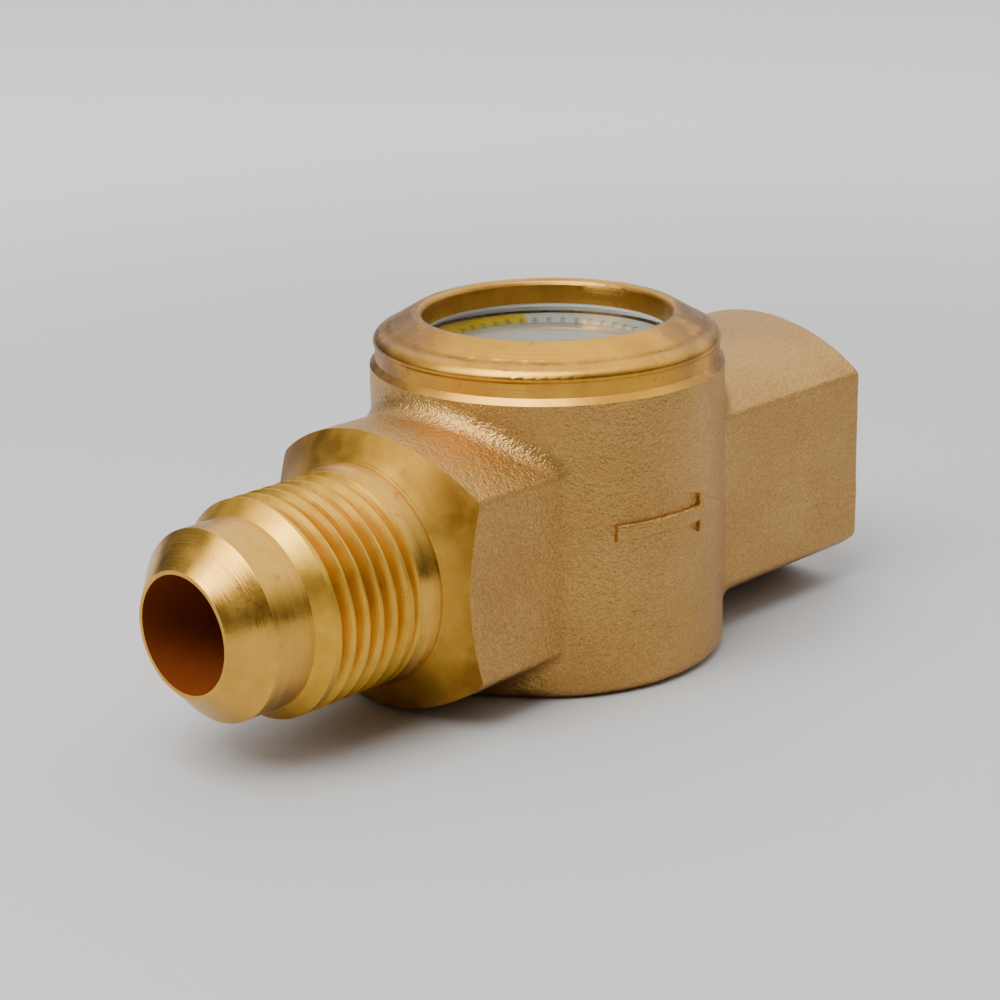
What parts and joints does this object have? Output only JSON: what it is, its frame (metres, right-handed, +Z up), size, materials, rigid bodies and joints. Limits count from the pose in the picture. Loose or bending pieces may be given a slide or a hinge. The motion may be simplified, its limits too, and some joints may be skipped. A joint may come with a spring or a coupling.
{
  "type": "refrigerant sight glass",
  "caption": "Brass sight glass with moisture indicator, round window chamber, male flare inlet, female flare outlet and flat wrench blocks.",
  "frame": {"origin": "on the window axis, on the flat bottom of the chamber", "axes": "+Z up along the window axis, +X along the flow axis towards the female outlet, -Y towards the side with the raised arrow"},
  "size_m": [0.0761, 0.0326, 0.0316],
  "materials": {
    "body_brass": "blasted hot-forged brass, turned bright at the flare, the neck and the rim",
    "window_glass": "clear toughened glass with bevelled edges",
    "seal": "smooth black elastomer",
    "washer": "white fluoropolymer",
    "chart": "printed ring, yellow and grey colour fields with plain marks",
    "indicator_paper": "soft grey filter paper",
    "stainless": "plain stainless steel",
    "carrier_brass": "stamped brass",
    "copper": "soft annealed copper"
  },
  "bodies": {
    "root": {"body": "body_brass", "sight_glass": "window_glass", "glass_seal": "seal", "rim_washer": "washer", "chart_ring": "chart", "indicator_paper": "indicator_paper", "backing_screen": "stainless", "indicator_carrier": "carrier_brass", "indicator_spring": "stainless", "flare_gasket": "copper"}
  },
  "joints": []
}
